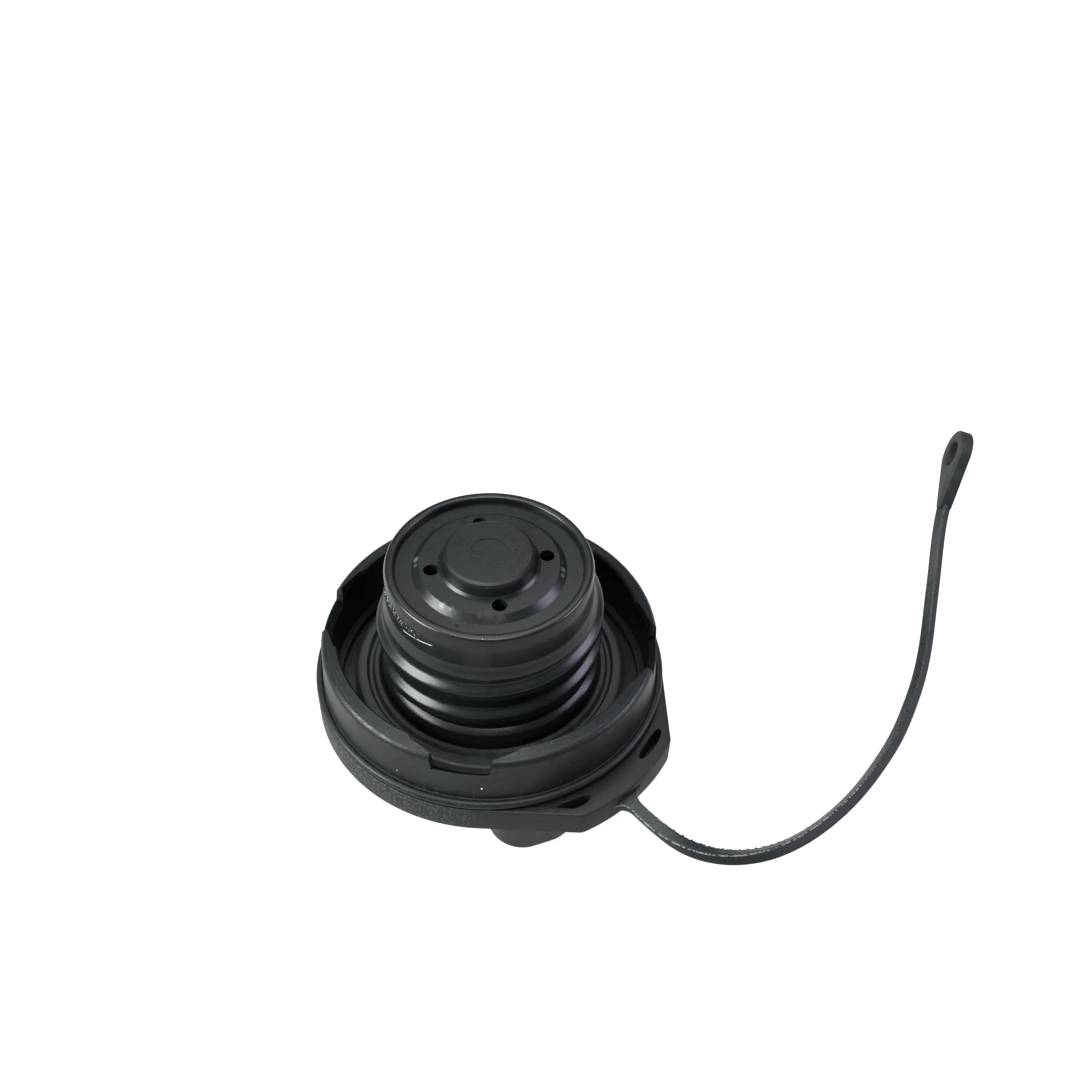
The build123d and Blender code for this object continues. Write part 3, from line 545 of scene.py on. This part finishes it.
def strap_line(spacing):
    """Smooth line through the strap's points, its leans and its lengths along the way.

    Cubic spans whose bend carries on from one to the next: the slopes m solve
    h[i] m[i-1] + 2 (h[i-1] + h[i]) m[i] + h[i-1] m[i+1]
    = 3 (h[i] d[i-1] / h[i-1] + h[i-1] d[i] / h[i]), with h the chords' lengths and d the chords.
    """
    run = np.array(EYELET_RUN) / np.linalg.norm(EYELET_RUN)
    start = polar(LOBE_OUTSIDE - LOBE_WALL, STRAP_DIRECTION, STRAP_ROUTE[0][2])
    end = np.array(EYELET_CENTRE) - run * EYELET_NECK
    points = np.vstack([start, [p[:3] for p in STRAP_ROUTE], end])
    leans = np.array([0] + [p[3] for p in STRAP_ROUTE] + [STRAP_END_LEAN])
    chords = np.diff(points, axis=0)
    h = np.linalg.norm(chords, axis=1)
    count = len(points)
    table = np.eye(count)
    sides = np.zeros((count, 3))
    inner = np.arange(1, count - 1)
    table[inner, inner - 1] = h[1:]
    table[inner, inner] = 2 * (h[:-1] + h[1:])
    table[inner, inner + 1] = h[:-1]
    sides[inner] = 3 * (chords[:-1] * (h[1:] / h[:-1])[:, None]
                        + chords[1:] * (h[:-1] / h[1:])[:, None])
    sides[0], sides[-1] = polar(1.0, STRAP_DIRECTION, 0.0), run
    slopes = np.linalg.solve(table, sides)
    knots = np.append(0, np.cumsum(h))
    t = np.linspace(0, knots[-1], int(knots[-1] / spacing))
    k = np.clip(np.searchsorted(knots, t, side="right") - 1, 0, count - 2)
    q, w = ((t - knots[k]) / h[k])[:, None], h[k][:, None]
    line = (points[k] * (1 + 2 * q) * (1 - q) ** 2 + points[k + 1] * q ** 2 * (3 - 2 * q)
            + slopes[k] * w * q * (1 - q) ** 2 + slopes[k + 1] * w * q ** 2 * (q - 1))
    return line, np.interp(t, knots, leans), t


def strap():
    """Rounded section carried along the strap's line, rolled by its lean and flared at the lobe.

    The section is the point nearest to each direction on a rounded rectangle. Its corner beside
    the grained face has a ragged flash, a sum of sines kept where it is positive.
    """
    line, leans, t = strap_line(STRAP_SPACING)
    ahead = np.gradient(line, axis=0)
    ahead /= np.linalg.norm(ahead, axis=1)[:, None]
    inwards = np.cross([0, 0, 1], ahead)
    inwards /= np.linalg.norm(inwards, axis=1)[:, None]
    up = np.cross(ahead, inwards)
    lean = np.radians(leans)[:, None]
    face = up * np.cos(lean) + inwards * np.sin(lean)
    across = np.cross(face, ahead)
    around = np.radians(np.arange(0, 360, 7.5))
    reach = 3 * np.stack([np.cos(around), np.sin(around)], axis=-1)
    core = np.array([STRAP_WIDTH, STRAP_THICKNESS]) / 2 - STRAP_CORNER
    held = np.clip(reach, -core, core)
    out = reach - held
    section = held + STRAP_CORNER * out / np.linalg.norm(out, axis=1)[:, None]
    from_wall = np.clip(t - LOBE_WALL, 0, ROOT_FLARE)
    flare = ROOT_FLARE - np.sqrt(ROOT_FLARE ** 2 - (ROOT_FLARE - from_wall) ** 2)
    x = section[:, 0] + np.sign(section[:, 0]) * flare[:, None]
    y = section[:, 1] + 0 * flare[:, None]
    ragged = (np.sin(2.9 * t) + np.sin(6.1 * t + 1) + 0.8 * np.sin(11.3 * t + 2)
              + 0.6 * np.sin(17.9 * t))
    flash = (FLASH_HEIGHT * np.clip(ragged, 0, 2) * np.clip((t - FLASH_START) / 6, 0, 1)
             * np.clip((FLASH_END - t) / 25, 0, 1))
    at_corner = np.exp(-((np.degrees(around) - 45) / 12) ** 2)
    wobble = flash[:, None] * at_corner
    points = (line[:, None] + (x + 0.7 * wobble)[..., None] * across[:, None]
              + (y + 0.7 * wobble)[..., None] * face[:, None])
    uv = (t, np.append(np.degrees(around), 360) / 360)
    return surface("strap", points, strap_finish, "tether_ring", tube=True, uv=uv)


def eyelet():
    """Drop-shaped plate: rows of points run from the bore over the edges and back beneath."""
    lean = np.degrees(np.arccos((STRAP_WIDTH / 2 - EYELET_OUTSIDE) / EYELET_NECK))
    head = np.radians(np.linspace(-lean, lean, 120))
    neck = np.radians(np.linspace(lean, 360 - lean, 24))
    head_line = EYELET_OUTSIDE * np.stack([np.cos(head), np.sin(head)], axis=-1)
    neck_line = STRAP_WIDTH / 2 * np.stack([np.cos(neck), np.sin(neck)], axis=-1) - [EYELET_NECK, 0]
    part = np.linspace(0, 1, 26)[1:-1, None]
    there = head_line[-1] * (1 - part) + neck_line[0] * part
    back = neck_line[-1] * (1 - part) + head_line[0] * part
    outer = np.vstack([head_line, there, neck_line, back])
    turn = np.unwrap(np.arctan2(outer[:, 1], outer[:, 0]))
    bore = EYELET_BORE * np.stack([np.cos(turn), np.sin(turn)], axis=-1)
    apart = outer - bore
    apart /= np.linalg.norm(apart, axis=1)[:, None]
    edge = EYELET_EDGE
    quarter = np.radians(np.linspace(0, 90, 5))
    sunk, rise = edge * (1 - np.sin(quarter)), edge * (1 - np.cos(quarter))
    half = EYELET_THICKNESS / 2
    rows = [(bore + apart * i, half - d) for i, d in zip(rise, sunk)]
    rows += [(outer - apart * i, half - d) for i, d in zip(rise[::-1], sunk[::-1])]
    rows += [(outer - apart * i, d - half) for i, d in zip(rise, sunk)]
    rows += [(bore + apart * i, d - half) for i, d in zip(rise[::-1], sunk[::-1])]
    run = np.array(EYELET_RUN) / np.linalg.norm(EYELET_RUN)
    axis = np.array(EYELET_AXIS) / np.linalg.norm(EYELET_AXIS)
    side = np.cross(axis, run)
    centre = np.array(EYELET_CENTRE)
    grid = np.stack([centre + flat[:, :1] * run + flat[:, 1:] * side + height * axis
                     for flat, height in rows])
    return surface("eyelet", grid, elastomer, "tether_ring")


for piece in (tether_band(), strap(), eyelet()):
    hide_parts("tether")


# ---------------------------------------------------------------- plug
def smooth_step(x):
    """0 below 0, 1 above 1 and 3 x^2 - 2 x^3 between."""
    x = np.clip(x, 0, 1)
    return x * x * (3 - 2 * x)


def thread_rise(directions, heights):
    """How far the thread stands out, from 0 at its root to 1 at its crest.

    The crest climbs one pitch a turn. Over each crest lie a level land and a long S-shaped flank,
    under it a short undercut, and the ridge fades out over its first and last degrees.
    """
    rise = np.zeros(np.broadcast(directions, heights).shape)
    for lap in range(2):
        turn = (directions - THREAD_START) % 360 + 360 * lap
        over = heights - THREAD_FOOT - THREAD_PITCH * turn / 360
        ridge = (1 - smooth_step((over - THREAD_LAND) / THREAD_FLANK)) * smooth_step(
            1 + (over + 0.1) / THREAD_UNDERCUT)
        fade = smooth_step(turn / THREAD_RUNOUT) * smooth_step((THREAD_TURN - turn) / THREAD_RUNOUT)
        rise = np.maximum(rise, ridge * fade)
    return rise


def plug_wall():
    """Outside of the plug: lip, plain wall, blend and thread, a radius over angle and height."""
    directions = np.arange(0, 360, 1.5)
    quarter = np.radians(np.linspace(0, 90, 7))
    rows = [(NOSE_INSIDE, DISC_TOP - 0.9), (NOSE_INSIDE, DISC_TOP - 0.05),
            (NOSE_INSIDE + 0.05, NOSE_TOP - LIP_EDGE - 0.3)]
    rows += [(NOSE_INSIDE + 0.1 + LIP_EDGE * (1 - c), NOSE_TOP - LIP_EDGE * (1 - s))
             for c, s in zip(np.cos(quarter), np.sin(quarter))]
    rows += [(NOSE_OUTSIDE - NOSE_EDGE * (1 - s), NOSE_TOP - NOSE_EDGE * (1 - c))
             for c, s in zip(np.cos(quarter), np.sin(quarter))]
    rows += [(PLUG_WALL, WALL_TOP)]
    heights = np.concatenate([[50.0, 48.0], np.arange(WALL_FOOT, COLLAR_TOP + 0.6, -THREAD_ROW)])
    blend = 1 - smooth_step((heights - BLEND_FOOT) / (WALL_FOOT - BLEND_FOOT))
    base = PLUG_WALL + (THREAD_ROOT - PLUG_WALL) * blend
    threaded = base[:, None] + (THREAD_CREST - base[:, None]) * thread_rise(
        directions[None], heights[:, None])
    collar = [(THREAD_ROOT, COLLAR_TOP + 0.5), (COLLAR_OUTSIDE - 0.4, COLLAR_TOP),
              (COLLAR_OUTSIDE, COLLAR_TOP - 0.4), (COLLAR_OUTSIDE, GASKET_SEAT + 0.1),
              (PLUG_WALL - 0.9, GASKET_SEAT + 0.1), (PLUG_WALL - 0.9, DISC_TOP - 0.9)]
    grid = np.concatenate([
        [polar(r * np.ones_like(directions), directions, z) for r, z in rows],
        polar(threaded, directions[None], heights[:, None]),
        [polar(r * np.ones_like(directions), directions, z) for r, z in collar]])
    return surface("plug_wall", grid, plug_acetal, "plug")


def merged_copy(name, node, material, body, move):
    """Copy of a CAD node's mesh with its doubles merged and its shading kept.

    Its points in mm go where `move` says. The corners of a face that moved keep their bearing
    round the axis and take the face's new slope.
    """
    source = cad_nodes[node].data
    points = np.zeros(len(source.vertices) * 3)
    source.vertices.foreach_get("co", points)
    corners = np.zeros(len(source.loops), dtype=np.int32)
    source.loops.foreach_get("vertex_index", corners)
    shading = np.zeros(len(source.loops) * 3)
    source.corner_normals.foreach_get("vector", shading)
    points, index = np.unique(np.round(points.reshape(-1, 3) / MM, 4), axis=0, return_inverse=True)
    faces = index.ravel()[corners].reshape(-1, 3)
    whole = ((faces[:, 0] != faces[:, 1]) & (faces[:, 1] != faces[:, 2])
             & (faces[:, 2] != faces[:, 0]))
    faces, shading = faces[whole], shading.reshape(-1, 3, 3)[whole]
    moved = move(points)
    a, b, c = (moved[faces[:, k]] for k in range(3))
    flat = np.cross(b - a, c - a)
    slope = flat[:, 2] / np.maximum(np.linalg.norm(flat, axis=1), 1e-9)
    level = np.maximum(np.linalg.norm(shading[..., :2], axis=2), 1e-9)
    bearing = shading[..., :2] / level[..., None]
    upright = np.broadcast_to(slope[:, None, None], bearing.shape[:2] + (1,))
    tilted = np.concatenate([bearing * np.sqrt(1 - slope ** 2)[:, None, None], upright], axis=2)
    shifted = (np.abs(moved - points).max(axis=1) > 0.02)[faces].any(axis=1) & (np.abs(slope) < 0.9)
    shading = np.where(shifted[:, None, None], tilted, shading)
    mesh = bpy.data.meshes.new(name)
    mesh.from_pydata((moved * MM).tolist(), [], faces.tolist())
    mesh.polygons.foreach_set("use_smooth", np.ones(len(faces), dtype=bool))
    mesh.normals_split_custom_set(shading.reshape(-1, 3).tolist())
    return placed(name, mesh, material, body)


def to_radius(points, radius):
    """The points at a new distance from the axis."""
    old = np.maximum(np.hypot(points[:, 0], points[:, 1]), 1e-6)
    return points * np.stack([radius / old, radius / old, np.ones_like(old)], axis=-1)


def under_wall(points):
    """Draws the plug in above the gasket, so that it lies inside plug_wall."""
    above = points[:, 2] > GASKET_SEAT + 0.2
    radius = np.hypot(points[:, 0], points[:, 1])
    drawn = to_radius(points, np.where(above, np.minimum(radius, PLUG_WALL - 0.4), radius))
    drawn[:, 2] = np.minimum(drawn[:, 2], NOSE_TOP - LIP_EDGE)
    return drawn


for piece in (plug_wall(), merged_copy("plug_core", "plug_body", plug_acetal, "plug", under_wall)):
    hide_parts("plug_body")
for node, body, joint, fixed_end, kept in SPRINGS:
    coil = merged_copy(node + "_coil", node, wire, body, np.copy)
    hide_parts(node)
    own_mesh(coil)


# ---------------------------------------------------------------- dirt
def crumbs(name, places, outwards, sizes, body):
    """Lumps of grit, each a sphere of two angles with its own half-widths and a dented skin."""
    chance = np.random.default_rng(11)
    count = len(places)
    rings, segments = 5, 8
    a = np.linspace(0, np.pi, rings)
    b = np.arange(segments) * 2 * np.pi / segments
    ball = np.stack(np.broadcast_arrays(
        np.sin(a)[:, None] * np.cos(b), np.sin(a)[:, None] * np.sin(b),
        np.cos(a)[:, None]), axis=-1)
    dented = ball * chance.uniform(0.7, 1.2, (count, rings, segments, 1))
    dented[:, 0], dented[:, -1] = ball[0], ball[-1]
    scale = sizes[:, None] * chance.uniform(0.6, 1.4, (count, 3))
    points = (places[:, None, None] + dented * scale[:, None, None]
              + (outwards * CRUMB_STAND_OFF)[:, None, None])
    index = np.arange(rings * segments).reshape(rings, segments)
    quads = np.stack([index[:-1], index[1:],
                      np.roll(index[1:], -1, 1), np.roll(index[:-1], -1, 1)], -1)
    shifts = np.arange(count)[:, None, None] * rings * segments
    mesh = bpy.data.meshes.new(name)
    mesh.from_pydata((points.reshape(-1, 3) * MM).tolist(), [],
                     (quads.reshape(1, -1, 4) + shifts).reshape(-1, 4).tolist())
    piece = placed(name, mesh, grit_finish, body)
    return piece


def wall_grit():
    """Crumbs caked on the plug's plain wall, thickest at the left."""
    chance = np.random.default_rng(5)
    direction = GRIT_DIRECTION + GRIT_SPREAD * chance.random(GRIT_COUNT) ** 1.4
    height = GRIT_TOP - (direction - GRIT_DIRECTION) * 0.05 - GRIT_BAND * chance.random(GRIT_COUNT)
    sizes = chance.uniform(0.08, 0.26, GRIT_COUNT)
    places = polar(PLUG_WALL * np.ones(GRIT_COUNT), direction, height)
    outwards = polar(np.ones(GRIT_COUNT), direction, 0.0)
    return crumbs("wall_grit", places, outwards, sizes, "plug")


wall_grit()


# ---------------------------------------------------------------- floor, light and camera
def floor():
    """Plain light table under the cap: white acrylic lit from below, so no hard shadow shows."""
    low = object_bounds()[0]
    size = FLOOR_HALF_WIDTH * MM
    mesh = bpy.data.meshes.new("floor")
    corners = [(-size, -size), (size, -size), (size, size), (-size, size)]
    mesh.from_pydata([(x, y, low[2] - FLOOR_GAP * MM) for x, y in corners], [], [(0, 1, 2, 3)])
    table = bpy.data.objects.new("floor", mesh)
    bpy.context.scene.collection.objects.link(table)
    material = bpy.data.materials.new("opal_acrylic")
    material.use_nodes = True
    shader = material.node_tree.nodes["Principled BSDF"]
    shader.inputs["Base Color"].default_value = srgb("5e5e5e")
    shader.inputs["Roughness"].default_value = 0.9
    shader.inputs["Emission Color"].default_value = srgb("ffffff")
    shader.inputs["Emission Strength"].default_value = 0.92
    mesh.materials.append(material)
    table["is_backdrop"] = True


def softbox(name, place, aim, size, power, colour):
    """Rectangular area light at `place`, turned towards `aim`, all in metres."""
    data = bpy.data.lights.new(name, "AREA")
    data.shape = "RECTANGLE"
    data.size, data.size_y = size
    data.energy = power
    data.color = srgb(colour)[:3]
    lamp = bpy.data.objects.new(name, data)
    lamp.location = place
    lamp.rotation_euler = (Vector(aim) - Vector(place)).to_track_quat("-Z", "Y").to_euler()
    bpy.context.scene.collection.objects.link(lamp)


def camera():
    """40 mm lens on a 36 mm wide frame, looking down on the cap from the front."""
    right = Vector((0.96680, -0.25452, 0.02259))
    down = Vector((-0.16125, -0.67632, -0.71874))
    ahead = Vector((0.19821, 0.69124, -0.69491))
    data = bpy.data.cameras.new("camera")
    data.lens = 40.0
    data.sensor_width = 36.0
    data.sensor_fit = "HORIZONTAL"
    data.clip_start = 0.01
    eye = bpy.data.objects.new("camera", data)
    turn = Matrix((right, -down, -ahead)).transposed().to_4x4()
    eye.matrix_world = Matrix.Translation((-0.03741, -0.16697, 0.22509)) @ turn
    bpy.context.scene.collection.objects.link(eye)
    bpy.context.scene.camera = eye


floor()
camera()
middle_of_cap = (0.0, 0.0, 0.03)
for name, place, size, power, colour in (
        ("left_softbox", (-0.9, -0.05, 0.5), (0.5, 0.6), 30.0, "fbfffd"),
        ("right_softbox", (0.85, -0.2, 0.45), (0.4, 0.5), 8.0, "e8e8ff"),
        ("top_softbox", (0.0, 0.45, 1.2), (1.2, 0.8), 16.0, "ffffff"),
        ("front_softbox", (-0.15, -0.3, 1.2), (0.8, 0.5), 16.0, "ffffff")):
    softbox(name, place, middle_of_cap, size, power, colour)
world = bpy.data.worlds.new("studio")
world.use_nodes = True
world.node_tree.nodes["Background"].inputs["Color"].default_value = srgb("ffffff")
world.node_tree.nodes["Background"].inputs["Strength"].default_value = 0.15
bpy.context.scene.world = world
bpy.context.scene.view_settings.view_transform = "Standard"
